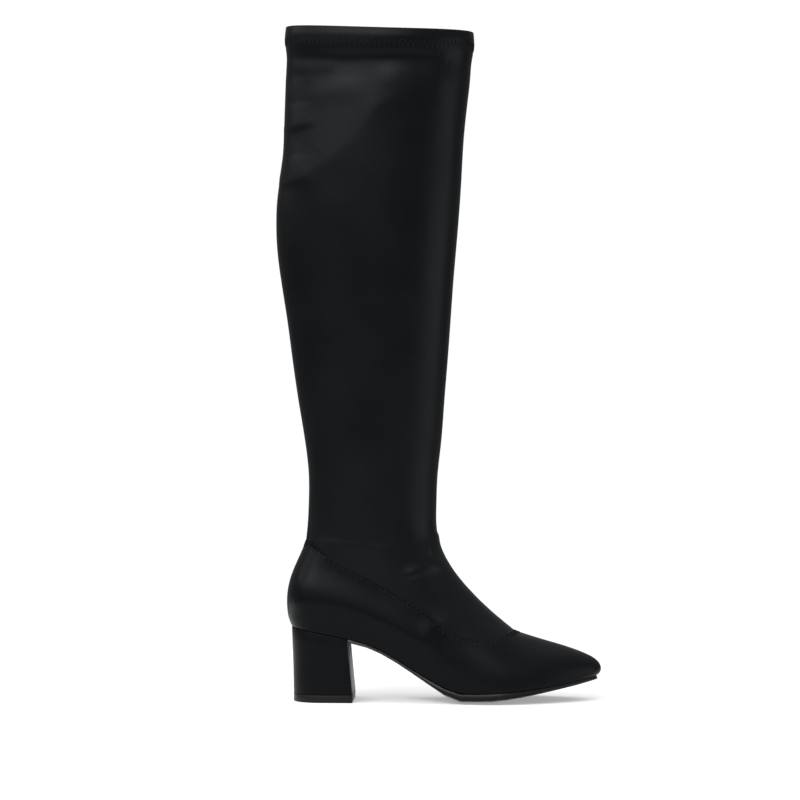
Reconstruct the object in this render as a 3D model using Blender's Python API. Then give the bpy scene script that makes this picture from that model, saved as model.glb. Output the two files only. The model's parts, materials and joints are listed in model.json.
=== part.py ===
# A thigh high stretch boot on a block heel, for the right foot.
# +X points to the toe, -Y to the outer side of the leg, +Z up. Metres. It stands on Z = 0.

import math

import bmesh
import bpy
import numpy as np

# Driving dimensions
BOOT_HEIGHT = 0.5316  # floor to the back of the collar
FOOT_LENGTH = 0.2417  # heel to toe along the feather line, where upper and sole meet
BALL_WIDTH = 0.0765  # feather line, across the ball of the foot
HEEL_SEAT_WIDTH = 0.0545  # feather line, across the heel
HEEL_HEIGHT = 0.0585  # floor to the back of the heel seat
BALL_HEIGHT = 0.0078  # floor to the feather line at the ball
TOE_SPRING = 0.0122  # rise of the feather line from ball to toe
ANKLE_RISE = 0.068  # heel seat to the narrow of the ankle, where the shaft begins to stand
COLLAR_DEPTH = 0.1485  # back to front at the collar
CALF_DEPTH = 0.1455
ANKLE_DEPTH = 0.1013
COLLAR_WIDTH = 0.086  # side to side at the collar
CALF_WIDTH = 0.082
ANKLE_WIDTH = 0.065
COLLAR_DROP = 0.0048  # front of the collar below its back
COLLAR_DIP = 0.003  # sides of the collar below the line from back to front
TOPLINE_HEIGHT = 0.0675  # seam between upper and shaft, above the feather line at the back
TOE_SHIFT = 0.006  # toe tip towards the inner side of the foot

UPPER_WALL = 0.0018
SHAFT_WALL = 0.0012
HEM_HEIGHT = 0.0235
HEM_STEP = 0.0009  # how far the folded hem stands out from the shaft
HEM_RAMP = 0.0045  # height over which the hem steps out
RIM_ROUND = 0.0007  # rounding of the collar's edge
TOPLINE_STEP = 0.0004  # how far the upper stands out from the shaft at their seam
INSOLE_THICKNESS = 0.0024
INSOLE_CLEARANCE = 0.0006  # between the insole's edge and the inside of the upper
OUTSOLE_EDGE = 0.0049  # height of the outsole's side at the ball
OUTSOLE_CROWN = 0.0036  # drop from that side to the tread at the ball
OUTSOLE_LIP = 0.0008  # how far the outsole stands out from the upper at the ball
TREAD_FLAT_SHARE = 0.36  # width of the tread's flat middle against the outsole
TREAD_BEND_SHARE = 0.74  # width at which the tread has half its crown
HEEL_BREAST = 0.0447  # depth of the heel block at the seat
HEEL_TIP_DEPTH = 0.0475  # depth of the heel block at its foot
HEEL_TIP_WIDTH = 0.0515
HEEL_LEAN = 0.0015  # foot of the heel block ahead of the seat, at the back
HEEL_WAIST = 0.0002  # hollow of the block's back and sides half way down
TOP_PIECE_HEIGHT = 0.006
EDGE_ROUND = 0.0007  # rounding of the edges of heel block and top piece
SOLE_TIP = 0.0004  # the outsole's last section lies this far behind its tip
GAP = 0.0003  # clearance between pieces that touch

HALF_COLUMNS = 30  # steps from heel to toe along one side of a ring
UPPER_ROWS = 10
UPPER_CROWDING = 1.5  # above 1 the upper's rows crowd near the sole, where the toe is tightly rounded
STEP_FADE_SHARE = 0.4  # share of the upper's rows over which it comes to stand out from the shaft
SHAFT_ROWS = 27
SHAFT_CROWDING = 1.15  # the same for the shaft's rows, near the ankle
HEEL_ROWS = 5
HEEL_COLUMNS = 12  # steps round each side of the heel block
BEVEL_STEPS = 2
BEVEL_ANGLE = math.radians(50)  # edges of heel block and top piece sharper than this are rounded
SHARP_ANGLE = math.radians(40)  # edges sharper than this stay sharp in the shading
STATION_CLEARANCE = 0.0015  # sections of sole and insole keep this far from the first and the last one

# Fineness of the measuring, which has no effect on the sizes
MEASURES = 1500
HALVINGS = 40
SMALL_STEP = 1e-4
SMALL_TURN = 0.012
MERGE_DISTANCE = 1e-7

# Sole from heel to toe. Stations are shares of the foot length. The feather line lies at the ball height
# plus rise of the drop from heel seat to ball, plus spring of the toe spring.
# Edge and crown are shares of those of the outsole at the ball, and lip is a share of its lip.
SOLE_COLUMNS = ("station", "rise", "spring", "edge", "crown", "lip")
SOLE = (
    (0.00, 1.000, 0.00, 0.50, 0.15, 0.0),
    (0.19, 0.825, 0.00, 0.50, 0.15, 0.0),
    (0.24, 0.770, 0.00, 0.50, 0.20, 0.0),
    (0.31, 0.625, 0.00, 0.52, 0.25, 0.0),
    (0.37, 0.455, 0.00, 0.56, 0.35, 0.2),
    (0.44, 0.245, 0.00, 0.66, 0.55, 0.6),
    (0.50, 0.085, 0.00, 0.84, 0.85, 0.9),
    (0.56, 0.000, 0.00, 1.00, 1.00, 1.0),
    (0.63, 0.000, 0.03, 1.00, 1.00, 1.0),
    (0.69, 0.000, 0.10, 0.93, 0.95, 1.0),
    (0.75, 0.000, 0.20, 0.80, 0.85, 1.0),
    (0.84, 0.000, 0.43, 0.60, 0.60, 0.9),
    (0.94, 0.000, 0.75, 0.48, 0.40, 0.7),
    (1.00, 0.000, 1.00, 0.42, 0.30, 0.6),
)

# Plan of the foot. Centre is a share of the toe's shift. Sole and body are half widths of the feather line
# and of the upper above it, as shares of the heel seat width and the ball width, mixed by ball.
# Full shapes the section from a ridge (low) to flat sides (high).
PLAN_COLUMNS = ("station", "centre", "ball", "sole", "body", "full")
PLAN = (
    (0.00, 0.00, 0.0, 0.500, 0.555, 2.0),
    (0.10, 0.00, 0.0, 0.500, 0.555, 2.0),
    (0.18, -0.05, 0.0, 0.499, 0.560, 2.0),
    (0.27, -0.18, 0.0, 0.485, 0.572, 1.9),
    (0.36, -0.37, 0.3, 0.443, 0.535, 1.8),
    (0.45, -0.52, 0.7, 0.400, 0.478, 1.7),
    (0.54, -0.50, 1.0, 0.415, 0.466, 1.6),
    (0.62, -0.32, 1.0, 0.474, 0.494, 1.6),
    (0.69, -0.05, 1.0, 0.500, 0.509, 1.7),
    (0.76, 0.27, 1.0, 0.480, 0.488, 1.9),
    (0.83, 0.56, 1.0, 0.420, 0.427, 2.1),
    (0.90, 0.80, 1.0, 0.342, 0.349, 2.3),
    (1.00, 1.00, 1.0, 0.245, 0.250, 2.4),
)
HEEL_CAP_SHARE = 0.105  # length of the round heel, and its squareness
HEEL_POWER = 2.3
TOE_CAP_SHARE = 0.16  # length of the almond toe, and its squareness
TOE_POWER = 2.15

# Back of the heel, from the seat up to the ankle: height as a share of the ankle rise, reach as a share of
# the foot length, from the back of the seat towards the toe.
HEEL_CURVE_COLUMNS = ("height", "reach")
HEEL_CURVE = (
    (0.00, 0.000),
    (0.09, -0.011),
    (0.19, -0.015),
    (0.30, -0.016),
    (0.42, -0.013),
    (0.54, -0.006),
    (0.66, 0.006),
    (0.77, 0.019),
    (0.89, 0.035),
)

# Ridge of the foot, from the toe's feather line up to the ankle: height as a share of that rise.
INSTEP_COLUMNS = ("height", "reach")
INSTEP = (
    (0.000, 1.000),
    (0.030, 1.011),
    (0.065, 1.011),
    (0.100, 1.001),
    (0.138, 0.979),
    (0.174, 0.941),
    (0.212, 0.895),
    (0.249, 0.839),
    (0.288, 0.777),
    (0.328, 0.731),
    (0.405, 0.688),
    (0.480, 0.647),
    (0.554, 0.608),
    (0.628, 0.579),
    (0.703, 0.552),
    (0.777, 0.525),
    (0.851, 0.502),
    (0.926, 0.485),
)

# Shaft from ankle to collar: height as a share of that rise, reach of its back, and its section mixed from
# those of collar, calf and ankle.
SHAFT_COLUMNS = ("height", "reach", "collar", "calf", "ankle")
SHAFT = (
    (0.000, 0.046, 0.00, 0.03, 0.97),
    (0.060, 0.054, 0.00, 0.00, 1.00),
    (0.117, 0.056, 0.00, 0.00, 1.00),
    (0.195, 0.042, 0.00, 0.16, 0.84),
    (0.273, 0.020, 0.00, 0.33, 0.67),
    (0.352, 0.001, 0.00, 0.495, 0.505),
    (0.430, -0.016, 0.00, 0.64, 0.36),
    (0.508, -0.037, 0.00, 0.805, 0.195),
    (0.585, -0.052, 0.00, 0.95, 0.05),
    (0.645, -0.053, 0.00, 1.00, 0.00),
    (0.702, -0.040, 0.20, 0.75, 0.05),
    (0.781, -0.026, 0.40, 0.495, 0.105),
    (0.859, -0.023, 0.60, 0.335, 0.065),
    (0.937, -0.019, 0.80, 0.18, 0.02),
    (1.000, -0.020, 1.00, 0.00, 0.00),
)

# Seam between upper and shaft: its height above the feather line, as a share of that at the back.
TOPLINE_COLUMNS = ("station", "height")
TOPLINE = (
    (0.000, 1.000),
    (0.046, 1.000),
    (0.100, 0.935),
    (0.150, 0.860),
    (0.210, 0.790),
    (0.270, 0.745),
    (0.340, 0.730),
    (0.430, 0.712),
    (0.475, 0.695),
    (0.515, 0.645),
    (0.555, 0.600),
    (0.600, 0.588),
    (0.660, 0.578),
    (0.700, 0.615),
    (0.735, 0.658),
)

FLAT_LEVEL_SHARE = 1.40  # rings lie level from here up, as a share of the ankle rise above the seat
ROUND_LEVEL_SHARES = (0.50, 1.30)  # between these the rings go from the foot's plan to the shaft's oval
BODY_LEVEL_SHARE = 0.32  # the upper reaches its full width here
HIDDEN_RIDGE_SLOPE = 6  # how steeply the foot's ridge goes on inside the leg, behind the ankle's front
COLLAR_FADE_SHARE = 0.25  # the slant of the collar is gone this far down, as a share of the boot height
SHAFT_POWER = 2.05  # squareness of the shaft's oval

ANKLE_HEIGHT = HEEL_HEIGHT + ANKLE_RISE
TOE_HEIGHT = BALL_HEIGHT + TOE_SPRING
TOP_LEVEL = BOOT_HEIGHT - HEEL_HEIGHT  # levels count from the heel seat


def column(table, columns, name):
    return np.array([row[columns.index(name)] for row in table], dtype=float)


def curve_through(x, xs, ys):
    # A smooth curve through the points, which never swings past them.
    steps = np.diff(xs)
    slopes = np.diff(ys) / steps
    before, after = slopes[:-1], slopes[1:]
    same_way = before * after > 0
    total = np.where(same_way, before + after, 1.0)
    inner = np.where(same_way, 2 * before * after / total, 0.0)
    tangents = np.concatenate([slopes[:1], inner, slopes[-1:]])
    x = np.clip(x, xs[0], xs[-1])
    i = np.clip(np.searchsorted(xs, x) - 1, 0, len(xs) - 2)
    t = (x - xs[i]) / steps[i]
    start = (1 + 2 * t) * (1 - t) ** 2 * ys[i] + t * (1 - t) ** 2 * steps[i] * tangents[i]
    end = t * t * (3 - 2 * t) * ys[i + 1] + t * t * (t - 1) * steps[i] * tangents[i + 1]
    return start + end


def ease(value, start, end):
    t = np.clip((value - start) / (end - start), 0.0, 1.0)
    return t * t * (3 - 2 * t)


def sole(name, x):
    stations = column(SOLE, SOLE_COLUMNS, "station")
    return curve_through(x / FOOT_LENGTH, stations, column(SOLE, SOLE_COLUMNS, name))


def plan(name, station):
    return curve_through(station, column(PLAN, PLAN_COLUMNS, "station"), column(PLAN, PLAN_COLUMNS, name))


def feather_z(x):
    return BALL_HEIGHT + (HEEL_HEIGHT - BALL_HEIGHT) * sole("rise", x) + TOE_SPRING * sole("spring", x)


def shaft_size(collar, calf, ankle):
    weights = (column(SHAFT, SHAFT_COLUMNS, name) for name in ("collar", "calf", "ankle"))
    return sum(weight * size for weight, size in zip(weights, (collar, calf, ankle)))


SHAFT_Z = ANKLE_HEIGHT + column(SHAFT, SHAFT_COLUMNS, "height") * (BOOT_HEIGHT - ANKLE_HEIGHT)
SHAFT_BACK = column(SHAFT, SHAFT_COLUMNS, "reach") * FOOT_LENGTH
SHAFT_FRONT = SHAFT_BACK + shaft_size(COLLAR_DEPTH, CALF_DEPTH, ANKLE_DEPTH)
SHAFT_HALF = shaft_size(COLLAR_WIDTH, CALF_WIDTH, ANKLE_WIDTH) / 2
HEEL_Z = HEEL_HEIGHT + column(HEEL_CURVE, HEEL_CURVE_COLUMNS, "height") * ANKLE_RISE
HEEL_X = column(HEEL_CURVE, HEEL_CURVE_COLUMNS, "reach") * FOOT_LENGTH
RIDGE_Z = TOE_HEIGHT + column(INSTEP, INSTEP_COLUMNS, "height") * (ANKLE_HEIGHT - TOE_HEIGHT)
RIDGE_X = column(INSTEP, INSTEP_COLUMNS, "reach") * FOOT_LENGTH
BACK_LINE = (np.concatenate([HEEL_Z, SHAFT_Z]), np.concatenate([HEEL_X, SHAFT_BACK]))
FRONT_LINE = (np.concatenate([RIDGE_Z, SHAFT_Z]), np.concatenate([RIDGE_X, SHAFT_FRONT]))
TIP_X = RIDGE_X.max()


def back_x(z):
    return curve_through(z, *BACK_LINE)


def front_x(z):
    return curve_through(z, *FRONT_LINE)


def ring_z(x, level):
    # Rings follow the sole at the bottom and lie level from the ankle up.
    flat = ease(level, 0.0, FLAT_LEVEL_SHARE * ANKLE_RISE)
    return feather_z(x) * (1 - flat) + HEEL_HEIGHT * flat + level


def front_of_ring(level):
    # The height at which a ring meets the ridge of the foot or the front of the shaft.
    low = np.full_like(level, TOE_HEIGHT)
    high = np.full_like(level, BOOT_HEIGHT)
    for _ in range(HALVINGS):
        middle = (low + high) / 2
        below = middle < ring_z(front_x(middle), level)
        low = np.where(below, middle, low)
        high = np.where(below, high, middle)
    return low


RING_LEVELS = np.linspace(0.0, TOP_LEVEL, MEASURES)
RING_FRONTS = front_of_ring(RING_LEVELS)
RIDGE_STEPS = np.linspace(RIDGE_Z[np.argmax(RIDGE_X)], RIDGE_Z[-1], MEASURES)


def ridge_height(x):
    # Height of the ridge of the foot over the sole, growing fast behind the front of the ankle.
    on_ridge = np.interp(-x, -front_x(RIDGE_STEPS), RIDGE_STEPS)
    climb = RIDGE_Z[-1] + (RIDGE_X[-1] - x) * HIDDEN_RIDGE_SLOPE
    return np.where(x < RIDGE_X[-1], climb, on_ridge) - feather_z(x)


def end_cap(distance, length, square):
    # 0 at the very end of the plan, 1 from the given length on.
    t = np.clip(1 - distance / length, 0.0, 1.0)
    return (1 - t**square) ** (1 / square)


def foot_section(x, level, back, tip, z):
    # Centre and half width of the foot at x, in the ring of this level.
    station = (x - back) / (tip - back)
    ball = plan("ball", station)
    size = HEEL_SEAT_WIDTH * (1 - ball) + BALL_WIDTH * ball
    body = np.sin(math.pi / 2 * np.clip(level / (BODY_LEVEL_SHARE * ANKLE_RISE), 0.0, 1.0))
    half = size * (plan("sole", station) * (1 - body) + plan("body", station) * body)
    half = half * end_cap(station, HEEL_CAP_SHARE, HEEL_POWER)
    half = half * end_cap(1 - station, TOE_CAP_SHARE, TOE_POWER)
    up = np.clip((z - feather_z(x)) / np.maximum(ridge_height(x), 1e-6), 0.0, 1.0)
    half = half * (1 - up ** plan("full", station)) ** 0.5
    centre = plan("centre", station) * TOE_SHIFT
    return centre, half


def oval_section(x, back, front, half):
    t = np.clip(2 * (x - back) / (front - back) - 1, -1.0, 1.0)
    return half * (1 - np.abs(t) ** SHAFT_POWER) ** (1 / SHAFT_POWER)


def collar_slant(t, level):
    # How far the collar's edge lies below a level ring, fading down the shaft.
    share = ease(level, TOP_LEVEL - COLLAR_FADE_SHARE * BOOT_HEIGHT, TOP_LEVEL - HEM_HEIGHT)
    return share * (COLLAR_DROP * t + COLLAR_DIP * 4 * t * (1 - t))


def skin(level, turn):
    # Points of the boot's outer surface. Level climbs from the sole to the collar. A turn of 0 is the heel,
    # 1 the toe by the outer side, 2 the heel again by the inner side.
    z_back = HEEL_HEIGHT + level
    z_front = np.interp(level, RING_LEVELS, RING_FRONTS)
    back = back_x(z_back)
    front = front_x(z_front)
    tip = np.where(z_front < RIDGE_STEPS[0], front, TIP_X)
    along = (1 - np.cos(math.pi * turn)) / 2
    x = back + (front - back) * along
    z = ring_z(x, level)
    centre, foot_half = foot_section(x, level, back, tip, z)
    shaft_half = oval_section(x, back, front, curve_through(z_back, SHAFT_Z, SHAFT_HALF))
    leg = ease(level, ROUND_LEVEL_SHARES[0] * ANKLE_RISE, ROUND_LEVEL_SHARES[1] * ANKLE_RISE)
    half = foot_half * (1 - leg) + shaft_half * leg
    side = np.where(turn <= 1, -1.0, 1.0)
    y = centre * (1 - leg) + side * half
    return np.stack([x, y, z - collar_slant(along, level)], axis=-1)


def column_turns():
    return np.arange(2 * HALF_COLUMNS) / HALF_COLUMNS


def topline_z(x):
    stations = column(TOPLINE, TOPLINE_COLUMNS, "station")
    heights = column(TOPLINE, TOPLINE_COLUMNS, "height")
    return feather_z(x) + TOPLINE_HEIGHT * curve_through(x / FOOT_LENGTH, stations, heights)


def topline_level(turn):
    # The level at which each column crosses the seam between upper and shaft.
    low = np.zeros_like(turn)
    high = np.full_like(turn, ANKLE_RISE * FLAT_LEVEL_SHARE)
    for _ in range(HALVINGS):
        middle = (low + high) / 2
        point = skin(middle, turn)
        below = point[:, 2] < topline_z(point[:, 0])
        low = np.where(below, middle, low)
        high = np.where(below, high, middle)
    return low


def level_step(level, turn, distance):
    # The step in level that moves a point of this column by a distance along the surface.
    run = np.linalg.norm(skin(level + SMALL_STEP, turn) - skin(level - SMALL_STEP, turn), axis=-1)
    return distance * 2 * SMALL_STEP / run


def outward(level, turn):
    # The outward direction of the surface.
    sideways = skin(level, (turn + SMALL_TURN) % 2) - skin(level, (turn - SMALL_TURN) % 2)
    above = np.minimum(level + SMALL_STEP, TOP_LEVEL)
    below = np.maximum(level - SMALL_STEP, 0.0)
    direction = np.cross(sideways, skin(above, turn) - skin(below, turn))
    return direction / np.linalg.norm(direction, axis=-1)[..., None]


def skin_columns(levels, offsets):
    # The outer points of every column at its levels, moved out by the offsets, and the outward directions.
    turns = np.broadcast_to(column_turns()[:, None], levels.shape)
    out = outward(levels, turns)
    return skin(levels, turns) + out * offsets[None, :, None], out


def mesh_object(name, points, faces, material):
    mesh = bpy.data.meshes.new(name)
    mesh.from_pydata([tuple(point) for point in points], [], faces)
    mesh.update()
    shape = bmesh.new()
    shape.from_mesh(mesh)
    bmesh.ops.remove_doubles(shape, verts=shape.verts, dist=MERGE_DISTANCE)
    bmesh.ops.recalc_face_normals(shape, faces=shape.faces)
    shape.to_mesh(mesh)
    shape.free()
    mesh.shade_smooth()
    mesh.set_sharp_from_angle(angle=SHARP_ANGLE)
    mesh.materials.append(material)
    made = bpy.data.objects.new(name, mesh)
    bpy.context.scene.collection.objects.link(made)
    return made


def tube_faces(rings, count):
    # Quads between closed rings, the last ring joined to the first, as round a hollow wall.
    faces = []
    for row in range(rings):
        above = (row + 1) % rings
        for i in range(count):
            j = (i + 1) % count
            faces.append((row * count + i, row * count + j, above * count + j, above * count + i))
    return faces


def wall_object(name, outer, inner, material):
    # A hollow wall from its outer and inner columns: up the outside, over the rim and down the inside.
    loop = np.concatenate([outer, inner[:, ::-1]], axis=1)
    rings = loop.transpose(1, 0, 2)
    return mesh_object(name, rings.reshape(-1, 3), tube_faces(rings.shape[0], rings.shape[1]), material)


def slab_object(name, sections, material):
    # A solid lofted through closed sections, with a face over each end.
    count = len(sections[0])
    faces = []
    for row in range(len(sections) - 1):
        for i in range(count):
            j = (i + 1) % count
            faces.append((row * count + i, row * count + j, (row + 1) * count + j, (row + 1) * count + i))
    last = (len(sections) - 1) * count
    faces.append(tuple(range(count)))
    faces.append(tuple(last + i for i in range(count)))
    return mesh_object(name, np.concatenate(sections), faces, material)


def make_upper(material):
    shares = np.linspace(0.0, 1.0, UPPER_ROWS + 1) ** UPPER_CROWDING
    top = topline_level(column_turns())
    levels = GAP + (top[:, None] - GAP) * shares
    outer, out = skin_columns(levels, TOPLINE_STEP * ease(shares, 0.0, STEP_FADE_SHARE))
    inner = outer - out * UPPER_WALL
    flat = out[:, 0] * (1.0, 1.0, 0.0)
    flat /= np.linalg.norm(flat, axis=1)[:, None]
    inner[:, 0] = outer[:, 0] - flat * UPPER_WALL
    inner[:, 0, 2] = feather_z(inner[:, 0, 0]) + GAP
    return wall_object("upper", outer, inner, material)


def make_shaft(material):
    hem_foot = TOP_LEVEL - HEM_HEIGHT
    shares = np.linspace(0.0, 1.0, SHAFT_ROWS + 1) ** SHAFT_CROWDING
    turns = column_turns()
    seam = topline_level(turns)
    seam += level_step(seam, turns, GAP)
    below_hem = seam[:, None] + (hem_foot - seam[:, None]) * shares
    hem = np.array([hem_foot + HEM_RAMP, TOP_LEVEL - RIM_ROUND, TOP_LEVEL])
    levels = np.concatenate([below_hem, np.broadcast_to(hem, (len(turns), 3))], axis=1)
    plain = np.zeros(SHAFT_ROWS + 1)
    outer, out = skin_columns(levels, np.concatenate([plain, [HEM_STEP, HEM_STEP, HEM_STEP - RIM_ROUND]]))
    thickness = SHAFT_WALL + np.concatenate([plain, [HEM_STEP, HEM_STEP, 0.0]])
    inner = outer - out * thickness[None, :, None]
    return wall_object("shaft", outer, inner, material)


def feather_edges(x, inset):
    # The two edges of the feather line at x, moved in from the upper's outline.
    centre, half = foot_section(x, 0.0, 0.0, FOOT_LENGTH, feather_z(x))
    return centre - half + inset, centre + half - inset


def sole_stations(start, end):
    # The same stations along the foot as the columns of the upper, between two places.
    along = FOOT_LENGTH * (1 - np.cos(math.pi * np.arange(HALF_COLUMNS + 1) / HALF_COLUMNS)) / 2
    inside = along[(along > start + STATION_CLEARANCE) & (along < end - STATION_CLEARANCE)]
    return np.concatenate([[start], inside, [end]])


def breast_x(z):
    # The front face of the heel block, which leans forward on its way down.
    seat, foot = feather_z(HEEL_BREAST), TOP_PIECE_HEIGHT + GAP
    return HEEL_BREAST + (HEEL_LEAN + HEEL_TIP_DEPTH - HEEL_BREAST) * (seat - z) / (seat - foot)


def make_outsole(material):
    sections = []
    for x in sole_stations(HEEL_BREAST + GAP, FOOT_LENGTH - SOLE_TIP):
        lip = OUTSOLE_LIP * sole("lip", x)
        outer, inner = feather_edges(x, -lip)
        top = feather_z(x)
        edge = top - OUTSOLE_EDGE * sole("edge", x)
        tread = max(0.0, edge - OUTSOLE_CROWN * sole("crown", x))
        middle = (outer + inner) / 2
        half = (inner - outer) / 2
        bend = (edge + tread) / 2
        shape = ((half, top), (half, edge), (half * TREAD_BEND_SHARE, bend), (half * TREAD_FLAT_SHARE, tread))
        right = [(x, middle - width, z) for width, z in shape]
        left = [(x, middle + width, z) for width, z in reversed(shape)]
        sections.append(np.array(right + left))
    sections[0][:, 0] = breast_x(sections[0][:, 2]) + GAP
    return slab_object("outsole", sections, material)


def make_insole(material):
    inset = UPPER_WALL + INSOLE_CLEARANCE
    sections = []
    for x in sole_stations(inset, FOOT_LENGTH - inset):
        outer, inner = feather_edges(x, 0.0)
        outer_ahead, inner_ahead = feather_edges(x + SMALL_STEP, 0.0)
        outer_behind, inner_behind = feather_edges(x - SMALL_STEP, 0.0)
        outer += inset * math.hypot(1.0, (outer_ahead - outer_behind) / (2 * SMALL_STEP))
        inner -= inset * math.hypot(1.0, (inner_ahead - inner_behind) / (2 * SMALL_STEP))
        if inner - outer < INSOLE_THICKNESS:
            continue
        low = feather_z(x) + GAP
        high = low + INSOLE_THICKNESS
        sections.append(np.array([(x, outer, high), (x, outer, low), (x, inner, low), (x, inner, high)]))
    return slab_object("insole", sections, material)


def heel_ring(down, top_z, foot_z):
    # A closed outline of the heel block, from its breast round the back.
    # Down is 0 at the seat and 1 at the foot.
    seat_half = plan("sole", 0.0) * HEEL_SEAT_WIDTH
    hollow = HEEL_WAIST * math.sin(math.pi * down)
    back = HEEL_LEAN * down + hollow
    depth = HEEL_BREAST * (1 - down) + HEEL_TIP_DEPTH * down - hollow
    half = seat_half * (1 - down) + HEEL_TIP_WIDTH / 2 * down - hollow
    round_depth = HEEL_CAP_SHARE * FOOT_LENGTH
    along = (1 - np.cos(math.pi / 2 * np.linspace(0.0, 1.0, HEEL_COLUMNS + 1))) * depth
    width = half * end_cap(along, round_depth, HEEL_POWER)
    x = back + along
    z = (feather_z(along * HEEL_BREAST / depth) if top_z is None else top_z) * (1 - down) + foot_z * down
    z = np.broadcast_to(z, x.shape)
    outer = np.stack([x, -width, z], axis=-1)
    inner = np.stack([x, width, z], axis=-1)
    return np.concatenate([outer[::-1], inner[1:]])


def block_object(name, rings, material):
    # A block lofted through D-shaped rings. Strips across it close the two ends.
    count = len(rings[0])
    faces = []
    for row in range(len(rings) - 1):
        for i in range(count):
            j = (i + 1) % count
            faces.append((row * count + i, row * count + j, (row + 1) * count + j, (row + 1) * count + i))
    last = (len(rings) - 1) * count
    middle = count // 2
    for end in (0, last):
        faces.append((end + middle - 1, end + middle, end + middle + 1))
        for i in range(middle - 1):
            faces.append((end + i, end + i + 1, end + count - 2 - i, end + count - 1 - i))
    made = mesh_object(name, np.concatenate(rings), faces, material)
    bevel = made.modifiers.new("edge", "BEVEL")
    bevel.width = EDGE_ROUND
    bevel.segments = BEVEL_STEPS
    bevel.limit_method = "ANGLE"
    bevel.angle_limit = BEVEL_ANGLE
    return made


def make_heel(material):
    foot = TOP_PIECE_HEIGHT + GAP
    rings = [heel_ring(down, None, foot) for down in np.linspace(0.0, 1.0, HEEL_ROWS + 1)]
    return block_object("heel", rings, material)


def make_top_piece(material):
    rings = []
    for z in (TOP_PIECE_HEIGHT, 0.0):
        ring = heel_ring(1.0, None, z)
        rings.append(ring)
    return block_object("top_piece", rings, material)


def make_material(name, colour, roughness):
    made = bpy.data.materials.new(name)
    made.use_nodes = True
    shader = made.node_tree.nodes["Principled BSDF"]
    shader.inputs["Base Color"].default_value = (*colour, 1.0)
    shader.inputs["Roughness"].default_value = roughness
    shader.inputs["Metallic"].default_value = 0.0
    made.diffuse_color = (*colour, 1.0)
    return made


def stand_on_centre(objects):
    # The origin goes under the middle of the boot's box.
    points = np.array([vertex.co for made in objects for vertex in made.data.vertices])
    middle = (points.min(axis=0) + points.max(axis=0)) / 2
    for made in objects:
        made.location = (-middle[0], -middle[1], 0.0)


def clear_scene():
    for old in list(bpy.data.objects):
        bpy.data.objects.remove(old)


def main():
    clear_scene()
    fabric = make_material("black_stretch_fabric", (0.0103, 0.0110, 0.0116), 0.62)
    rubber = make_material("dark_sole_rubber", (0.0242, 0.0242, 0.0262), 0.55)
    tip = make_material("grey_heel_tip_rubber", (0.0395, 0.0395, 0.0437), 0.5)
    sock = make_material("black_insole_lining", (0.0123, 0.0123, 0.0130), 0.7)
    stand_on_centre(
        [
            make_upper(fabric),
            make_shaft(fabric),
            make_outsole(rubber),
            make_heel(fabric),
            make_top_piece(tip),
            make_insole(sock),
        ]
    )


main()
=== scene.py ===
import json
import math

import bmesh
import bpy
import numpy as np
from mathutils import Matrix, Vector
from mathutils.bvhtree import BVHTree

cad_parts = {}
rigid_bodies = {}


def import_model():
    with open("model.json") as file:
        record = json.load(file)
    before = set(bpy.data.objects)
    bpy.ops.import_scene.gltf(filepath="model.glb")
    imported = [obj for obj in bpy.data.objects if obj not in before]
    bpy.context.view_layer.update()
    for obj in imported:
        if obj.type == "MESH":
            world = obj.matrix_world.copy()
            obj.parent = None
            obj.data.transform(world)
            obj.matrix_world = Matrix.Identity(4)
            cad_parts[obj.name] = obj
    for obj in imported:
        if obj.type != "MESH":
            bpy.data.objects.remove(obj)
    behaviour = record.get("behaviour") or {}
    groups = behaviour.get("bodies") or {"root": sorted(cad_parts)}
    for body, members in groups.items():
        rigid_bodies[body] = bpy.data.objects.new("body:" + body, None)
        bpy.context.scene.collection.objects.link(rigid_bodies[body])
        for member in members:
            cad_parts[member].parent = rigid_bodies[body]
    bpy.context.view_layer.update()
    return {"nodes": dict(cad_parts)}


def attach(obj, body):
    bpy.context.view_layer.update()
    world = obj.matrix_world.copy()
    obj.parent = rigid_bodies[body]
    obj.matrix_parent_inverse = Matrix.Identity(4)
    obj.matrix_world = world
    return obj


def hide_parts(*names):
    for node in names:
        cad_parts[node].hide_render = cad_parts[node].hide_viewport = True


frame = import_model()
print("frame loaded")


# camera, first because everything is judged through it

photoCamera = {
    "frameWidth": 0.632,  # metres of the boot's middle plane across the picture, 0.79 mm a pixel
    "distance": 2.25,
    "yaw": 2.0,  # degrees towards the toe, so that a strip of the heel's breast shows
    "lookX": -0.0304,
    "lookZ": 0.2370,
    "sensor": 36.0,
    "nearest": 0.05,
    "farthest": 30,
}


def makeCamera(look):
    data = bpy.data.cameras.new("photo_camera")
    data.sensor_width = look["sensor"]
    data.lens = look["sensor"] * look["distance"] / look["frameWidth"]
    data.clip_start = look["nearest"]
    data.clip_end = look["farthest"]
    camera = bpy.data.objects.new("photo_camera", data)
    bpy.context.scene.collection.objects.link(camera)
    turn = math.radians(look["yaw"])
    camera.location = (
        look["lookX"] + look["distance"] * math.sin(turn),
        -look["distance"] * math.cos(turn),
        look["lookZ"],
    )
    camera.rotation_euler = (math.pi / 2, 0, turn)
    bpy.context.scene.camera = camera


makeCamera(photoCamera)
print("camera set")


# small helpers for working on meshes as by hand

copying = {
    "mergeDistance": 0.00002,  # metres between loose corners that are one point
    "gridPull": 1.6,  # how closely the pairing of triangles follows the rows of the grid
}


def deselectAll():
    if bpy.context.object and bpy.context.object.mode != "OBJECT":
        bpy.ops.object.mode_set(mode="OBJECT")
    bpy.ops.object.select_all(action="DESELECT")


def pick(piece):
    deselectAll()
    bpy.context.view_layer.objects.active = piece
    piece.select_set(True)


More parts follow.
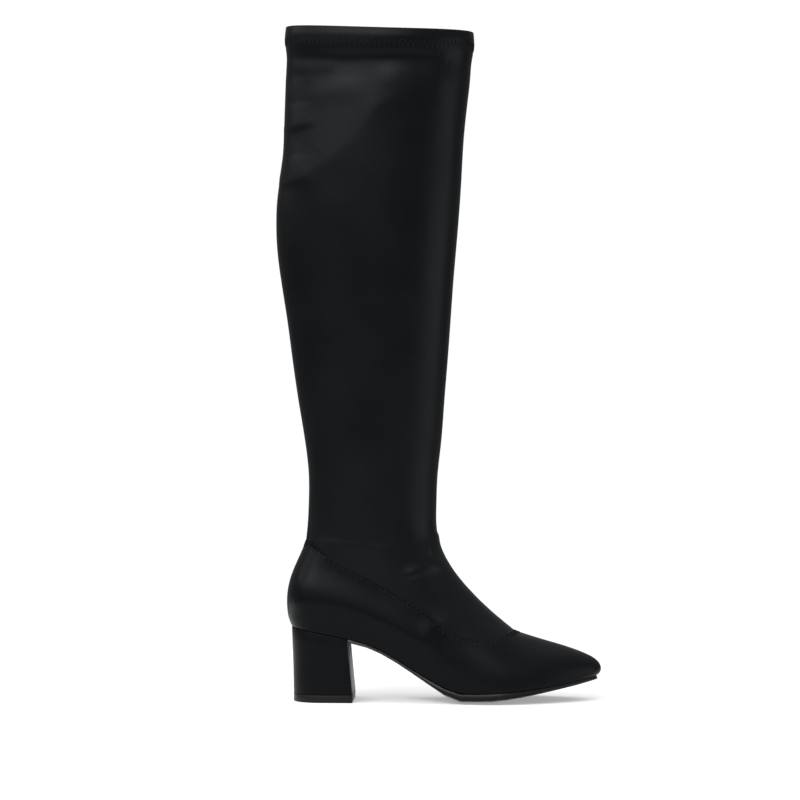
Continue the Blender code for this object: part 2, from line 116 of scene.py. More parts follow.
def editMode(piece, parts):
    pick(piece)
    bpy.ops.object.mode_set(mode="EDIT")
    bpy.ops.mesh.select_mode(type=parts)
    bpy.ops.mesh.select_all(action="DESELECT")


def chooseFaces(piece, wanted):
    # wanted is one truth for each face, edges and points follow their faces
    bpy.ops.object.mode_set(mode="OBJECT")
    piece.data.vertices.foreach_set("select", np.zeros(len(piece.data.vertices), bool))
    piece.data.edges.foreach_set("select", np.zeros(len(piece.data.edges), bool))
    piece.data.polygons.foreach_set("select", np.asarray(wanted, bool))
    bpy.ops.object.mode_set(mode="EDIT")


def chooseEdges(piece, wanted):
    # wanted is one truth for each edge
    bpy.ops.object.mode_set(mode="OBJECT")
    wanted = np.asarray(wanted, bool)
    chosen = np.zeros(len(piece.data.vertices), bool)
    chosen[edgeEnds(piece)[wanted].ravel()] = True
    piece.data.polygons.foreach_set("select", np.zeros(len(piece.data.polygons), bool))
    piece.data.vertices.foreach_set("select", chosen)
    piece.data.edges.foreach_set("select", wanted)
    bpy.ops.object.mode_set(mode="EDIT")


def points(piece):
    found = np.empty(len(piece.data.vertices) * 3)
    piece.data.vertices.foreach_get("co", found)
    return found.reshape(-1, 3)


def setPoints(piece, places):
    piece.data.vertices.foreach_set("co", np.asarray(places, float).ravel())
    piece.data.update()


def normals(piece):
    found = np.empty(len(piece.data.vertices) * 3)
    piece.data.vertex_normals.foreach_get("vector", found)
    return found.reshape(-1, 3)


def edgeEnds(piece):
    found = np.empty(len(piece.data.edges) * 2, int)
    piece.data.edges.foreach_get("vertices", found)
    return found.reshape(-1, 2)


def applyModifier(piece, kind, settings):
    pick(piece)
    modifier = piece.modifiers.new(kind.lower(), kind)
    for name, value in settings.items():
        setattr(modifier, name, value)
    bpy.ops.object.modifier_apply(modifier=modifier.name)


def subdivide(piece, levels):
    applyModifier(
        piece, "SUBSURF",
        {"levels": levels, "render_levels": levels, "boundary_smooth": "PRESERVE_CORNERS"},
    )


def shadeSmooth(piece, angle):
    # smooth all over, apart from edges sharper than this many degrees
    pick(piece)
    bpy.ops.object.shade_smooth_by_angle(angle=math.radians(angle))


def copyNode(node, name):
    # the CAD node's loose triangles, merged and paired back into the quads they came from
    piece = bpy.data.objects.new(name, frame["nodes"][node].data.copy())
    bpy.context.scene.collection.objects.link(piece)
    editMode(piece, "VERT")
    bpy.ops.mesh.select_all(action="SELECT")
    bpy.ops.mesh.remove_doubles(threshold=copying["mergeDistance"])
    bpy.ops.mesh.tris_convert_to_quads(
        face_threshold=math.pi, shape_threshold=math.pi, topology_influence=copying["gridPull"]
    )
    bpy.ops.object.mode_set(mode="OBJECT")
    piece.data.materials.clear()
    return piece


def keepSkin(piece, seed, sharpness):
    # keeps the faces joined to the one nearest to seed without crossing a sharp edge
    editMode(piece, "EDGE")
    bpy.ops.mesh.edges_select_sharp(sharpness=math.radians(sharpness))
    bpy.ops.mesh.mark_sharp()
    bpy.ops.mesh.select_all(action="DESELECT")
    bpy.ops.mesh.select_mode(type="FACE")
    middles = np.array([face.center[:] for face in piece.data.polygons])
    nearest = np.argmin(((middles - np.array(seed)) ** 2).sum(1))
    chooseFaces(piece, np.arange(len(middles)) == nearest)
    bpy.ops.mesh.select_linked(delimit={"SHARP"})
    bpy.ops.mesh.select_all(action="INVERT")
    bpy.ops.mesh.delete(type="FACE")
    bpy.ops.mesh.select_all(action="SELECT")
    bpy.ops.mesh.mark_sharp(clear=True)
    bpy.ops.object.mode_set(mode="OBJECT")


def surfaceOf(*meshes):
    # the meshes as one surface that points can be dropped on
    places, faces = [], []
    for mesh in meshes:
        start = len(places)
        places += [vertex.co.copy() for vertex in mesh.vertices]
        faces += [[start + corner for corner in face.vertices] for face in mesh.polygons]
    return BVHTree.FromPolygons(places, faces)


def boundaryLoops(piece):
    # each open edge of a mesh as a list of points in order round it
    mesh = bmesh.new()
    mesh.from_mesh(piece.data)
    left = {edge.index: edge for edge in mesh.edges if edge.is_boundary}
    loops = []
    while left:
        edge = left.pop(min(left))
        loop = [edge.verts[0], edge.verts[1]]
        while True:
            step = next((e for e in loop[-1].link_edges if e.index in left), None)
            if step is None:
                break
            del left[step.index]
            loop.append(step.other_vert(loop[-1]))
        loops.append(np.array([vertex.co[:] for vertex in loop[:-1]]))
    mesh.free()
    return loops


def highestLoop(piece):
    return max(boundaryLoops(piece), key=lambda loop: loop[:, 2].mean())


def finishPiece(piece, node, material):
    piece.data.materials.clear()
    piece.data.materials.append(material)
    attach(piece, "root")
    if node:
        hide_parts(node)


# materials

stretchKnit = {
    "dark": "#020405",
    "light": "#080a0d",
    "roughness": 0.36,
    "glossier": 0.05,  # how far the roughness falls and rises over the broad mottle
    "duller": 0.06,
    "mottle": 0.045,  # metres between the broad patches
    "grain": 0.0016,  # metres between the specks
    "grainBump": 0.16,
    "wale": 0.0011,  # metres between knit ribs, the real 0.4 mm wouldn't show
    "waleBump": 0.10,
    "specular": 0.10,
    "sheen": 0.02,
}
# the same knit as it lies over the last, in a darker, less glossy copy: painted shade that makes
# the foot and heel read deeper than the leg
shadedKnitLook = {**stretchKnit, "dark": "#010304", "light": "#05070a", "specular": 0.08}

polyesterThread = {
    "dark": "#08090a", "light": "#141516", "roughness": 0.42, "specular": 0.16,
    "grain": 0.0006, "bump": 0.2,
}
rubberSheet = {
    "dark": "#020203", "light": "#060607", "roughness": 0.28, "specular": 0.22,
    "grain": 0.0012, "bump": 0.10,
}
castTip = {
    "dark": "#060607", "light": "#0e0e0f", "roughness": 0.40, "specular": 0.20,
    "grain": 0.0010, "bump": 0.2,
}
sockLining = {
    "dark": "#101011", "light": "#1b1b1c", "roughness": 0.7, "specular": 0.3,
    "grain": 0.0014, "bump": 0.3,
}

ior = 1.5
wavePeriod = 0.314  # metres between the bands of a wave texture at scale 1
grainDepth = 0.0003  # metres of height that a grain's bump stands for
ribDepth = 0.0002
grainGloss = 0.06  # how far the roughness falls and rises over a moulded grain


def linear(code):
    # an sRGB hex code as the linear colour that the nodes work in
    channels = [int(code[i:i + 2], 16) / 255 for i in (1, 3, 5)]
    lit = [c / 12.92 if c < 0.04045 else ((c + 0.055) / 1.055) ** 2.4 for c in channels]
    return (*lit, 1.0)


def addNode(tree, kind, settings=None, links=None):
    node = tree.nodes.new(kind)
    for name, value in (settings or {}).items():
        if name in node.inputs:
            node.inputs[name].default_value = value
        else:
            setattr(node, name, value)
    for name, source in (links or {}).items():
        tree.links.new(source, node.inputs[name])
    return node


def newMaterial(name):
    material = bpy.data.materials.new(name)
    material.use_nodes = True
    material.node_tree.nodes.clear()
    return material, material.node_tree


def addTone(tree, look, noise):
    # two close tones of one colour, mixed by a noise
    tone = addNode(
        tree, "ShaderNodeMix", {"data_type": "RGBA"}, {"Factor": noise.outputs["Fac"]}
    )
    tone.inputs[6].default_value = linear(look["dark"])
    tone.inputs[7].default_value = linear(look["light"])
    return tone.outputs[2]


def makeStretchKnit(name, look):
    # polyester and elastane double knit, heat-set smooth: almost black satin with a dry grain
    material, tree = newMaterial(name)
    place = addNode(tree, "ShaderNodeTexCoord")
    spot = {"Vector": place.outputs["Object"]}
    fine = addNode(
        tree, "ShaderNodeTexNoise",
        {"Scale": 1 / look["grain"], "Detail": 3.0, "Roughness": 0.6}, spot,
    )
    broad = addNode(
        tree, "ShaderNodeTexNoise", {"Scale": 1 / look["mottle"], "Detail": 2.0}, spot
    )
    ribs = addNode(
        tree, "ShaderNodeTexWave",
        {
            "wave_type": "BANDS", "bands_direction": "X", "Scale": wavePeriod / look["wale"],
            "Distortion": 1.2, "Detail": 1.0, "Detail Scale": 3.0,
        },
        spot,
    )
    tone = addTone(tree, look, fine)
    rough = addNode(
        tree, "ShaderNodeMapRange",
        {
            "From Min": 0.3, "From Max": 0.7,
            "To Min": look["roughness"] - look["glossier"],
            "To Max": look["roughness"] + look["duller"],
        },
        {"Value": broad.outputs["Fac"]},
    )
    ribBump = addNode(
        tree, "ShaderNodeBump", {"Strength": look["waleBump"], "Distance": ribDepth},
        {"Height": ribs.outputs["Fac"]},
    )
    bump = addNode(
        tree, "ShaderNodeBump", {"Strength": look["grainBump"], "Distance": grainDepth},
        {"Height": fine.outputs["Fac"], "Normal": ribBump.outputs["Normal"]},
    )
    shader = addNode(
        tree, "ShaderNodeBsdfPrincipled",
        {
            "IOR": ior, "Specular IOR Level": look["specular"],
            "Sheen Weight": look["sheen"], "Sheen Roughness": 0.35,
        },
        {
            "Base Color": tone, "Roughness": rough.outputs["Result"],
            "Normal": bump.outputs["Normal"],
        },
    )
    addNode(tree, "ShaderNodeOutputMaterial", links={"Surface": shader.outputs["BSDF"]})
    return material


def makePlastic(name, look):
    # one moulded, cut or spun material with a fine grain, in tone and in bump
    material, tree = newMaterial(name)
    place = addNode(tree, "ShaderNodeTexCoord")
    noise = addNode(
        tree, "ShaderNodeTexNoise", {"Scale": 1 / look["grain"], "Detail": 4.0},
        {"Vector": place.outputs["Object"]},
    )
    tone = addTone(tree, look, noise)
    rough = addNode(
        tree, "ShaderNodeMapRange",
        {"To Min": look["roughness"] - grainGloss, "To Max": look["roughness"] + grainGloss},
        {"Value": noise.outputs["Fac"]},
    )
    bump = addNode(
        tree, "ShaderNodeBump", {"Strength": look["bump"], "Distance": grainDepth},
        {"Height": noise.outputs["Fac"]},
    )
    shader = addNode(
        tree, "ShaderNodeBsdfPrincipled", {"IOR": ior, "Specular IOR Level": look["specular"]},
        {
            "Base Color": tone, "Roughness": rough.outputs["Result"],
            "Normal": bump.outputs["Normal"],
        },
    )
    addNode(tree, "ShaderNodeOutputMaterial", links={"Surface": shader.outputs["BSDF"]})
    return material


# the leg: soft and almost black, with a low gloss only where it turns to the light
knit = makeStretchKnit("black_stretch_double_knit", stretchKnit)
# foot and heel: the same fabric with its tones darkened as painted shade, so it reads a shade
# deeper than the leg
shadedKnit = makeStretchKnit("black_double_knit_painted_shade", shadedKnitLook)
# bonded polyester sewing thread: a shade lighter and glossier than the knit, so the rows show
thread = makePlastic("black_polyester_thread", polyesterThread)
# thermoplastic rubber cut from sheet, its edge inked: low satin gloss, a thin lit line at the edge
soleRubber = makePlastic("black_thermoplastic_rubber", rubberSheet)
# cast polyurethane tip: greyer than the sole and nearly matt
tipRubber = makePlastic("grey_cast_polyurethane", castTip)
# coated microfibre sock lining: even dark grey without gloss
lining = makePlastic("black_microfibre_lining", sockLining)
print("materials made")


# folds, pressed into a skin along short paths

pressing = {
    "step": 1.5,  # millimetres between the points of a path
    "reach": 3.0,  # a fold's widths past its path where it has died away
    "ends": 0.3,  # share of a path over which the fold rises and fades, unless it says its own
    "power": 2.0,  # roundness of a fold, where 2 is a plain bell and less is peaked
    "stepGain": 1.6,  # brings the slope of a step up to the height it names
}


def smoothPath(corners, step):
    # a rounded run through the corners, a point every step
    corners = np.asarray(corners, float)
    before, after = 2 * corners[0] - corners[1], 2 * corners[-1] - corners[-2]
    full = np.vstack([before, corners, after])
    run = []
    for i in range(1, len(full) - 2):
        a, b, c, d = full[i - 1:i + 3]
        count = max(2, int(np.linalg.norm(c - b) / step))
        t = np.linspace(0, 1, count, endpoint=False)[:, None]
        bend = (2 * a - 5 * b + 4 * c - d) * t ** 2 + (3 * b - a - 3 * c + d) * t ** 3
        run.append(0.5 * (2 * b + (c - a) * t + bend))
    return np.vstack(run + [corners[-1:]])


def onSkin(surface, x, z, side):
    # the place on the skin at this length and height, on the outer side (-1) or the inner side (1)
    hit = surface.ray_cast(Vector((x, side * 0.2, z)), Vector((0, -side, 0)))
    if hit[0] is None:
        hit = surface.find_nearest(Vector((x, side * 0.004, z)))
    return hit[0], hit[1]


def pressFolds(piece, folds):
    # a fold lifts the skin along its path by its depth in millimetres, which fades over its width
    # to each side, or over "above" on the upper side, and a step tips the skin about the path
    surface = surfaceOf(piece.data)
    places, facing = points(piece), normals(piece)
    shift = np.zeros(len(places))
    for fold in folds:
        for side in fold.get("sides", (-1,)):
            path = smoothPath(fold["path"], pressing["step"]) / 1000
            found = [onSkin(surface, x, z, side) for x, z in path]
            line = np.array([place[:] for place, normal in found])
            out = np.array([normal[:] for place, normal in found])
            across = np.cross(out, np.gradient(line, axis=0))
            across *= np.sign((across * (0, 0, 1)).sum(1) + 1e-9)[:, None]  # now up the leg
            across /= np.linalg.norm(across, axis=1)[:, None] + 1e-9
            reach = np.ptp(line, axis=0) + pressing["reach"] * fold["width"] / 1000
            near = np.flatnonzero((np.abs(places - line.mean(0)) < reach).all(1))
            gap = places[near, None, :] - line[None, :, :]
            distance = np.linalg.norm(gap, axis=2)
            closest = distance.argmin(1)
            rows = np.arange(len(near))
            height = (gap[rows, closest] * across[closest]).sum(1)
            above = fold.get("above", fold["width"])
            width = np.where(height > 0, above, fold["width"]) / 1000
            away, height = distance[rows, closest] / width, height / width
            place = closest / (len(line) - 1)
            ends = fold.get("ends", pressing["ends"])
            fade = np.clip(place / ends, 0, 1) * np.clip((1 - place) / ends, 0, 1)
            fade = fade * fade * (3 - 2 * fade)
            lift = fold["depth"] * np.exp(-away ** fold.get("power", pressing["power"]))
            slope = fold.get("step", 0.0) * height * np.exp(-away ** 2)
            shift[near] += (lift + slope * pressing["stepGain"]) * fade / 1000
    setPoints(piece, places + facing * shift[:, None])


# thread rows, each one closed zigzag that lies on the fabric

threadSeat = {
    "atNeedle": 0.3,  # height of the thread's middle over the fabric, in its own radius
    "between": 0.8,
}


def loopPath(loop, step):
    # an even number of points round a closed loop, about a step apart
    closed = np.vstack([loop, loop[:1]])
    runs = np.linalg.norm(np.diff(closed, axis=0), axis=1)
    length = np.concatenate([[0], np.cumsum(runs)])
    count = int(length[-1] / step) // 2 * 2
    at = np.linspace(0, length[-1], count, endpoint=False)
    return np.column_stack([np.interp(at, length, closed[:, k]) for k in range(3)])


def stitchRow(name, surface, route, look):
    # route is the line that the row follows, high and low how far the needle goes up and down
    data = bpy.data.curves.new(name, "CURVE")
    data.dimensions = "3D"
    data.bevel_depth = look["threadRadius"]
    data.bevel_resolution = 1
    run = []
    for i, place in enumerate(route):
        following = route[(i + 1) % len(route)]
        place, normal = surface.find_nearest(Vector(place))[:2]
        up = (Vector(following) - place).cross(normal).normalized()
        up = up if up.z > 0 else -up
        high, low = look["stitchHigh"], look["stitchLow"]
        start, end = (high, low) if i % 2 else (low, high)
        for amount, seat in ((start * 0.5 + end * 0.5, "between"), (end, "atNeedle")):
            spot, out = surface.find_nearest(place + up * amount)[:2]
            run.append(spot + out * (look["threadRadius"] * threadSeat[seat]))
    spline = data.splines.new("POLY")
    spline.points.add(len(run) - 1)
    for point, place in zip(spline.points, run):
        point.co = (*place, 1)
    spline.use_cyclic_u = True
    row = bpy.data.objects.new(name, data)
    bpy.context.scene.collection.objects.link(row)
    pick(row)
    bpy.ops.object.convert(target="MESH")
    bpy.ops.object.shade_smooth()
    print(name, "laid in", len(run), "points")
    finishPiece(row, None, thread)


# shaft: the stretch leg

shaftLook = {
    "seed": (-0.05, -0.04, 0.30),  # a place on the outside of the leg
    "skinAngle": 50,  # degrees, the sharp edges where the outer skin ends
    "collarZone": 0.5,  # metres up, above all but the collar
    "flatTop": 0.5,  # upward part of a face's normal, from which it is the rim's flat top
    "rimRise": 0.0008,
    "foldZones": [(0.045, 0.150), (0.385, 0.54)],  # metres up, with one more row of points
    "steep": 0.62,  # an edge that rises by more than this share of its length runs up the leg
    "ankleZone": 0.3,  # metres up, the leg's lower edge lies below
    "tuck": 0.0032,  # metres that the leg runs on under the upper
    "tuckSink": 0.0008,
    "wall": 0.0010,
    "hemDepth": 0.022,  # metres below the rim where the fabric lies double
    "rimRounding": 0.0006,
    "rimZone": 0.515,
    "rimAngle": 60,
    "smoothAngle": 60,
    "stitchBelowRim": 0.0117,
    "stitchHigh": 0.0033,  # metres over and under the row's middle
    "stitchLow": -0.0033,
    "stitchPitch": 0.0019,
    "threadRadius": 0.00028,
}

# the seam between leg and foot, along which both of them are drawn in
toplineRun = [(-102, 119), (-78, 105), (-44, 85), (-16, 67), (6, 54)]

# paths of (length, height) in millimetres from the frame's origin, seen on the boot's outer side
shaftFolds = [
    # where the leg meets the foot
    {
        "path": [(-103, 126.5), (-78, 124.5), (-53, 121.5), (-22, 118.5)],
        "width": 20, "above": 3.8, "depth": 0.9, "sides": (-1, 1),
    },
    # drawn down to the topline
    {"path": toplineRun, "width": 7, "above": 26, "depth": -2.0, "ends": 0.2, "sides": (-1, 1)},
    # the crease and the short ridges over the instep
    {
        "path": [(9, 101), (-2, 100.3), (-11, 97.2), (-28, 92)],
        "width": 2.0, "depth": -0.7, "step": -0.4, "power": 1.3, "sides": (-1, 1),
    },
    {
        "path": [(2, 134), (-5, 124), (-10, 114)],
        "width": 5.0, "depth": 1.1, "power": 1.6, "sides": (-1, 1),
    },
    {
        "path": [(8, 112), (-4, 108), (-18, 103), (-34, 96)],
        "width": 4.2, "above": 4.0, "depth": 1.3, "power": 1.6, "sides": (-1, 1),
    },
    {"path": [(-24, 78), (-6, 68), (12, 58)], "width": 8, "depth": 0.5},
    # drawn in under the hem, and out again towards the knee
    {
        "path": [(-122, 503), (-60, 501), (22, 503)],
        "width": 42, "above": 9, "depth": -3.0, "ends": 0.25,
    },
    {"path": [(-118, 498), (-98, 498), (-76, 500)], "width": 6.5, "above": 8.0, "depth": 0.45},
    {
        "path": [(-56, 487), (-26, 489.5), (-4, 491), (21, 490)],
        "width": 13, "above": 11, "depth": 0.8,
    },
    {"path": [(-124, 490), (-114, 491), (-102, 492)], "width": 6.0, "depth": -0.5, "ends": 0.5},
    {"path": [(-112, 474), (-84, 478), (-50, 479)], "width": 9.0, "depth": 0.35},
    # over the knee, and the two short creases behind it
    {
        "path": [(19, 485), (-20, 475), (-46, 466), (-70, 436), (-118, 402)],
        "width": 24, "above": 32, "depth": 1.7, "power": 1.4, "ends": 0.12,
    },
    {
        "path": [(-128, 452), (-114, 451), (-92, 456)],
        "width": 3.6, "above": 14.0, "depth": 0.9, "ends": 0.5, "sides": (-1, 1),
    },
    {
        "path": [(-134, 407), (-118, 408), (-92, 412)],
        "width": 4.0, "above": 16.0, "depth": 0.8, "ends": 0.5, "sides": (-1, 1),
    },
    # the same slack on the inner side, lying a little lower
    {
        "path": [(-122, 500), (-60, 499), (22, 501)],
        "width": 40, "above": 9, "depth": -2.4, "ends": 0.25, "sides": (1,),
    },
    {
        "path": [(18, 470), (-18, 466), (-52, 452), (-82, 428), (-120, 398)],
        "width": 22, "above": 30, "depth": 1.5, "power": 1.4, "ends": 0.12, "sides": (1,),
    },
    {
        "path": [(-90, 484), (-60, 488), (-20, 486)],
        "width": 7, "above": 9, "depth": 0.5, "sides": (1,),
    },
]

# a double hem with its sewn track, and the fabric drawn in just under it:
# millimetres below the rim, and millimetres that the skin stands out there
hemProfile = [
    (0, -0.8), (2, -0.45), (7.5, 0.2), (9, -0.1), (14, -0.15), (17, -0.3), (20, -0.5),
    (24, -0.6), (28, -0.5), (34, -0.2), (42, 0.0),
]


def dropRim(piece, look):
    # takes off the flat top of the wall and its bevel, then lifts the edge back to full height
    tops = [
        face.normal.z > look["flatTop"] and face.center.z > look["collarZone"]
        for face in piece.data.polygons
    ]
    editMode(piece, "FACE")
    chooseFaces(piece, tops)
    bpy.ops.mesh.delete(type="FACE")
    bpy.ops.object.mode_set(mode="OBJECT")
    mesh = bmesh.new()
    mesh.from_mesh(piece.data)
    rim = [v.index for v in mesh.verts if v.is_boundary and v.co.z > look["collarZone"]]
    mesh.free()
    places = points(piece)
    places[rim, 2] += look["rimRise"]
    setPoints(piece, places)


def tuckUnder(piece, look):
    # runs the lower edge on, a little inwards, so it lies behind the upper as the sewn fabric does
    places, facing = points(piece), normals(piece)
    mesh = bmesh.new()
    mesh.from_mesh(piece.data)
    mesh.verts.ensure_lookup_table()
    rim = {v.index for v in mesh.verts if v.is_boundary and v.co.z < look["ankleZone"]}
    runDown = {}
    for index in rim:
        edges = mesh.verts[index].link_edges
        inner = next(e.other_vert(mesh.verts[index]) for e in edges if not e.is_boundary)
        way = np.array((mesh.verts[index].co - inner.co).normalized())
        shift = way * look["tuck"] - facing[index] * look["tuckSink"]
        runDown[tuple(np.round(places[index], 7))] = shift
    mesh.free()
    editMode(piece, "EDGE")
    chooseEdges(piece, [a in rim and b in rim for a, b in edgeEnds(piece)])
    bpy.ops.mesh.extrude_edges_move()
    bpy.ops.object.mode_set(mode="OBJECT")
    moved = points(piece)
    for index in range(len(places), len(moved)):
        moved[index] += runDown[tuple(np.round(moved[index], 7))]
    setPoints(piece, moved)


def denser(piece, low, high, steep):
    # one more row of points between each two, where the fabric folds
    places = points(piece)
    ends = edgeEnds(piece)
    middle = places[ends].mean(1)
    run = places[ends[:, 1]] - places[ends[:, 0]]
    upright = np.abs(run[:, 2]) > steep * np.linalg.norm(run, axis=1)
    editMode(piece, "EDGE")
    chooseEdges(piece, upright & (middle[:, 2] > low) & (middle[:, 2] < high))
    bpy.ops.mesh.subdivide(number_cuts=1, quadcorner="INNERVERT")
    bpy.ops.object.mode_set(mode="OBJECT")


def pressBelowRim(piece, rim, profile):
    # profile gives, at each distance below the rim, how far the fabric stands out
    places, facing = points(piece), normals(piece)
    near = np.flatnonzero(places[:, 2] > rim[:, 2].min() - profile[-1][0] / 1000)
    flat = np.linalg.norm(places[near, None, :2] - rim[None, :, :2], axis=2)
    below = (rim[flat.argmin(1), 2] - places[near, 2]) * 1000
    distances, amounts = np.array(profile).T
    places[near] += facing[near] * (np.interp(below, distances, amounts) / 1000)[:, None]
    setPoints(piece, places)


def thickenLeg(piece, rim, look):
    # double thickness in the hem, where the fabric is folded over, and a single one below it
    inHem = np.flatnonzero(points(piece)[:, 2] > rim[:, 2].min() - look["hemDepth"])
    hem = piece.vertex_groups.new(name="hem")
    hem.add([int(i) for i in inHem], 1.0, "REPLACE")
    applyModifier(
        piece, "SOLIDIFY",
        {
            "thickness": look["wall"] * 2, "offset": -1,
            "vertex_group": "hem", "thickness_vertex_group": 0.5,
        },
    )


def roundRim(piece, look):
    # the folded edge at the collar is soft, so its two corners are rounded
    heights = points(piece)[edgeEnds(piece)][:, :, 2]
    mesh = bmesh.new()
    mesh.from_mesh(piece.data)
    sharp = [edge.calc_face_angle(0) > math.radians(look["rimAngle"]) for edge in mesh.edges]
    mesh.free()
    editMode(piece, "EDGE")
    chooseEdges(piece, np.array(sharp) & (heights > look["rimZone"]).all(1))
    bpy.ops.mesh.bevel(offset=look["rimRounding"], segments=3)
    bpy.ops.object.mode_set(mode="OBJECT")


def makeShaft(look):
    piece = copyNode("shaft", "shaft_leg")
    keepSkin(piece, look["seed"], look["skinAngle"])
    dropRim(piece, look)
    tuckUnder(piece, look)
    subdivide(piece, 1)
    for low, high in look["foldZones"]:
        denser(piece, low, high, look["steep"])
    subdivide(piece, 1)
    rim = highestLoop(piece)
    pressBelowRim(piece, rim, hemProfile)
    pressFolds(piece, shaftFolds)
    openSkin = piece.data.copy()
    thickenLeg(piece, rim, look)
    roundRim(piece, look)
    shadeSmooth(piece, look["smoothAngle"])
    finishPiece(piece, "shaft", knit)
    route = loopPath(rim - np.array((0, 0, look["stitchBelowRim"])), look["stitchPitch"])
    stitchRow("hem_stitches", surfaceOf(openSkin), route, look)
    return openSkin


shaftSkin = makeShaft(shaftLook)
print("shaft made")


# upper: the foot part

upperLook = {
    "seed": (-0.02, -0.04, 0.05),  # a place on the outside of the foot
    "skinAngle": 50,
    "wall": 0.0016,
    "smoothAngle": 60,
    "stitchHigh": 0.0028,  # metres over and under the topline
    "stitchLow": -0.0024,
    "stitchPitch": 0.0021,
    "threadRadius": 0.00021,
}

upperFolds = [
    # the counter and quarter lean in above this line and stand upright below it
    {
        "path": [(-120, 80), (-78, 78), (-44, 66), (-14, 52), (2, 46)],
        "width": 9, "above": 20, "depth": 3.0, "ends": 0.12, "sides": (-1, 1),
    },
    {"path": toplineRun, "width": 20, "depth": -2.2, "ends": 0.2, "sides": (-1, 1)},
    # soft hollow behind the ball, where the vamp pulls in
    {"path": [(-20, 34), (6, 24), (30, 18)], "width": 9, "depth": -0.5, "sides": (-1, 1)},
]


def makeUpper(look):
    piece = copyNode("upper", "foot_upper")
    keepSkin(piece, look["seed"], look["skinAngle"])
    subdivide(piece, 2)
    pressFolds(piece, upperFolds)
    topline = highestLoop(piece)
    openSkin = piece.data.copy()
    applyModifier(piece, "SOLIDIFY", {"thickness": look["wall"], "offset": -1})
    shadeSmooth(piece, look["smoothAngle"])
    # the foot gets the copy of the knit with painted shade
    finishPiece(piece, "upper", shadedKnit)
    route = loopPath(topline, look["stitchPitch"])
    # the row lies half on the foot and half on the leg
    stitchRow("topline_stitches", surfaceOf(shaftSkin, openSkin), route, look)


makeUpper(upperLook)
print("upper made")


# the solid pieces underneath

solidLook = {
    "segments": 3,
    "roundAngle": 42,  # degrees from which an edge is rounded
    "smoothAngle": 40,
    "brimLift": 0.2,  # upward part of a normal, from which a point is on the upper brim
    "brimSide": 0.3,  # sideways part of it
    # metres of rounding
    "heel": 0.0007,
    "top_piece": 0.0008,
    "outsole": 0.0005,
    "insole": 0.0003,
    "outsoleLean": 0.0009,  # metres that the sole's side leans in towards its top
}


def leanIn(piece, amount, look):
    # draws the upper brim inwards, so that the side below it faces the light a little
    places, facing = points(piece), normals(piece)
    out = facing * np.array((1.0, 1.0, 0.0))
    sideways = np.linalg.norm(out, axis=1)
    brim = (facing[:, 2] > look["brimLift"]) & (sideways > look["brimSide"])
    places[brim] -= out[brim] / sideways[brim][:, None] * amount
    setPoints(piece, places)


def makeSolid(node, name, material, look):
    # a straight copy with its hard edges rounded, which is where the real ones catch the light
    piece = copyNode(node, name)
    leanIn(piece, look.get(node + "Lean", 0.0), look)
    applyModifier(
        piece, "BEVEL",
        {
            "width": look[node], "segments": look["segments"],
            "limit_method": "ANGLE", "angle_limit": math.radians(look["roundAngle"]),
        },
    )
    shadeSmooth(piece, look["smoothAngle"])
    finishPiece(piece, node, material)


# the heel block gets the copy of the knit with painted shade
makeSolid("heel", "heel_block", shadedKnit, solidLook)
makeSolid("top_piece", "heel_tip", tipRubber, solidLook)
makeSolid("outsole", "thin_outsole", soleRubber, solidLook)
makeSolid("insole", "sock_insole", lining, solidLook)
print("solid pieces made")


# studio: white paper and soft light

studio = {
    "roomLow": 0.35,  # what the room sheds from low down and from overhead
    "roomHigh": 1.08,
    "roomRise": (0.1, 0.8),  # upward part of a direction, from the low level to the high one
    "roomBack": 0.5,  # share of it that is left from behind
    "roomTurn": (-0.2, 0.6),  # backward part of a direction, from all of it to that share
    "paperSeen": 1.02,  # brightness of the paper behind the boot
    "paper": "#e6e6e6",
    "floorFront": 0.75,  # metres of paper in front of the boot, behind it and to each side
    "floorBack": 0.45,
    "floorSide": 0.62,
    "floorGlow": 0.32,  # lifts the paper's shadows, as an exposure for white does
}

# places and targets in metres, size as width and height, power in watts
softboxes = [
    {
        "name": "top_softbox", "place": (0.0, 0.1, 2.1), "target": (0, 0, 0),
        "size": (2.4, 2.0), "power": 9.0,
    },
    {
        "name": "key_softbox", "place": (-0.65, -1.68, 1.35), "target": (-0.05, 0, 0.25),
        "size": (2.0, 0.6), "power": 34.0,
    },
    {
        "name": "toe_side_softbox", "place": (1.6, -0.5, 0.22), "target": (-0.05, 0, 0.22),
        "size": (1.2, 0.8), "power": 5.2,
    },
    {
        "name": "window_wall_softbox", "place": (-1.75, -0.35, 1.12), "target": (-0.08, 0, 0.42),
        "size": (1.8, 0.45), "power": 8.5,
    },
]


def makeFloor(look):
    deselectAll()
    bpy.ops.mesh.primitive_plane_add(size=2)
    floor = bpy.context.object
    front, back = look["floorFront"], look["floorBack"]
    spread = np.array((look["floorSide"], (front + back) / 2, 1.0))
    setPoints(floor, points(floor) * spread + np.array((0, (back - front) / 2, 0)))
    floor.name = "studio_floor"
    material, tree = newMaterial("white_paper_sweep")
    # matt white paper: no reflection of the boot, only a soft grey shadow under it
    shader = addNode(
        tree, "ShaderNodeBsdfPrincipled",
        {
            "Base Color": linear(look["paper"]), "Roughness": 0.9, "Specular IOR Level": 0.1,
            "Emission Color": (1, 1, 1, 1), "Emission Strength": look["floorGlow"],
        },
    )
    addNode(tree, "ShaderNodeOutputMaterial", links={"Surface": shader.outputs["BSDF"]})
    floor.data.materials.append(material)


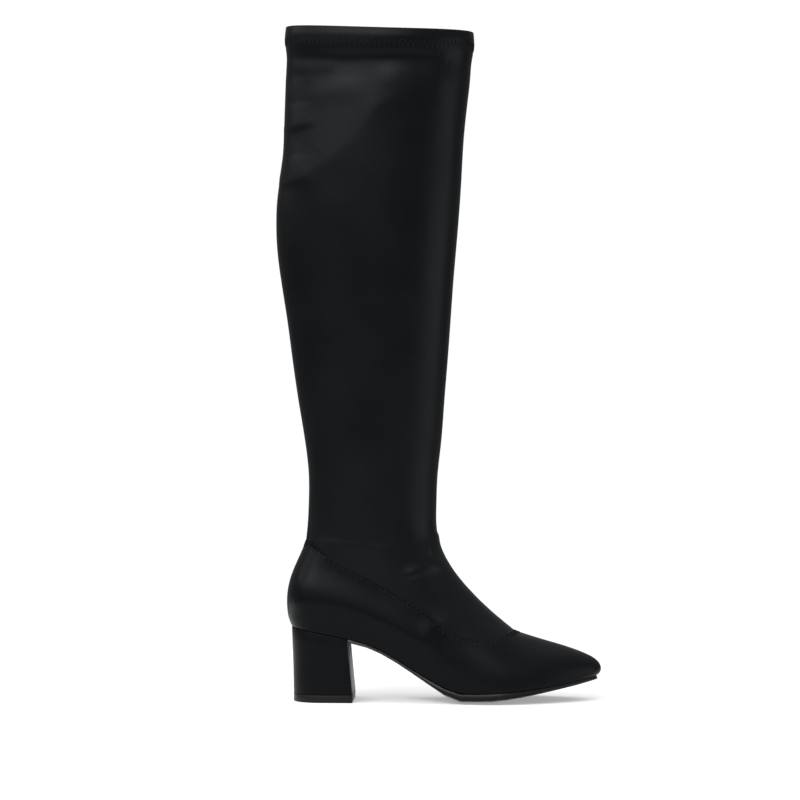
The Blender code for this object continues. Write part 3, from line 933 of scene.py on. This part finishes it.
def makeWorld(look):
    world = bpy.data.worlds.new("soft_white_room")
    world.use_nodes = True
    tree = world.node_tree
    tree.nodes.clear()
    way = addNode(tree, "ShaderNodeTexCoord")
    parts = addNode(
        tree, "ShaderNodeSeparateXYZ", links={"Vector": way.outputs["Generated"]}
    )
    # most of the room's light comes from overhead
    shed = addNode(
        tree, "ShaderNodeMapRange",
        {
            "From Min": look["roomRise"][0], "From Max": look["roomRise"][1],
            "To Min": look["roomLow"], "To Max": look["roomHigh"],
        },
        {"Value": parts.outputs["Z"]},
    )
    # less of it from behind, as if dark cloth hung beyond the paper
    behind = addNode(
        tree, "ShaderNodeMapRange",
        {
            "From Min": look["roomTurn"][0], "From Max": look["roomTurn"][1],
            "To Min": 1.0, "To Max": look["roomBack"],
        },
        {"Value": parts.outputs["Y"]},
    )
    both = addNode(
        tree, "ShaderNodeMath", {"operation": "MULTIPLY"},
        {0: shed.outputs["Result"], 1: behind.outputs["Result"]},
    )
    # the camera sees plain white paper behind the boot
    ray = addNode(tree, "ShaderNodeLightPath")
    level = addNode(
        tree, "ShaderNodeMix", {"data_type": "FLOAT", "B": look["paperSeen"]},
        {"Factor": ray.outputs["Is Camera Ray"], "A": both.outputs["Value"]},
    )
    glow = addNode(
        tree, "ShaderNodeBackground", {"Color": (1, 1, 1, 1)},
        {"Strength": level.outputs["Result"]},
    )
    addNode(tree, "ShaderNodeOutputWorld", links={"Surface": glow.outputs["Background"]})
    bpy.context.scene.world = world


def makeSoftbox(look):
    data = bpy.data.lights.new(look["name"], "AREA")
    data.shape = "RECTANGLE"
    data.size, data.size_y = look["size"]
    data.energy = look["power"]
    light = bpy.data.objects.new(look["name"], data)
    bpy.context.scene.collection.objects.link(light)
    light.location = look["place"]
    way = Vector(look["target"]) - Vector(look["place"])
    light.rotation_euler = way.to_track_quat("-Z", "Y").to_euler()


bpy.context.scene.view_settings.view_transform = "Standard"
makeFloor(studio)
makeWorld(studio)
for softbox in softboxes:
    makeSoftbox(softbox)
print("studio made")
